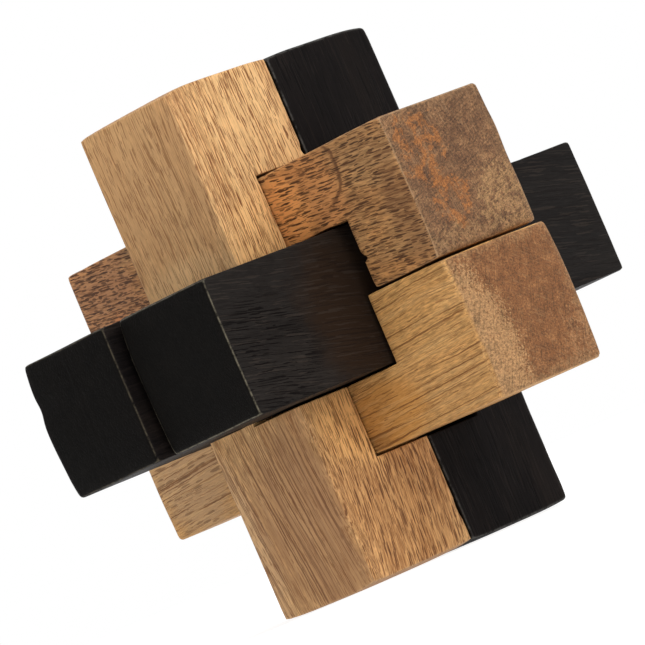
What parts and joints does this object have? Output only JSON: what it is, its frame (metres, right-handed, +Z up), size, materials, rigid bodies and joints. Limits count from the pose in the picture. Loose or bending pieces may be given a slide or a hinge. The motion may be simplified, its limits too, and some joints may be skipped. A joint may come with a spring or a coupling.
{
  "type": "wooden burr puzzle",
  "caption": "Wooden burr puzzle: notched square sticks in contrasting woods interlock at the middle, and a plain key stick slides out to open it.",
  "frame": {"origin": "bottom centre of the box around the closed puzzle, on the plane that the two uprights stand on", "axes": "+Z up along the upright pair, +X along the beam pair, +Y along the key and its partner, from the light upright towards the dark one"},
  "size_m": [0.0738, 0.076, 0.0725],
  "materials": {
    "blond_wood": "sanded, waxed",
    "golden_wood": "sanded, waxed",
    "brown_wood": "sanded, waxed",
    "black_wood": "stained black, rubbed smooth",
    "dark_brown_wood": "stained dark, rubbed smooth"
  },
  "bodies": {
    "light_upright": {"light_upright": "blond_wood"},
    "dark_upright": {"dark_upright": "black_wood"},
    "upper_beam": {"upper_beam": "brown_wood"},
    "lower_beam": {"lower_beam": "golden_wood"},
    "rear_dark_stick": {"rear_dark_stick": "black_wood"},
    "key_stick": {"key_stick": "dark_brown_wood"}
  },
  "joints": [
    {"name": "key_slide", "type": "slide", "parent": "light_upright", "child": "key_stick", "axis": [0, 1, 0], "range_m": [-0.08, 0.08]},
    {"name": "dark_upright_play", "type": "slide", "parent": "light_upright", "child": "dark_upright", "axis": [0, 0, 1], "range_m": [0, 0.0003]},
    {"name": "upper_beam_play", "type": "slide", "parent": "light_upright", "child": "upper_beam", "axis": [1, 0, 0], "range_m": [-0.0002, 0.0002]},
    {"name": "lower_beam_play", "type": "slide", "parent": "light_upright", "child": "lower_beam", "axis": [1, 0, 0], "range_m": [-0.0002, 0.0002]},
    {"name": "rear_stick_play", "type": "slide", "parent": "light_upright", "child": "rear_dark_stick", "axis": [0, 1, 0], "range_m": [-0.0002, 0.0002]}
  ]
}
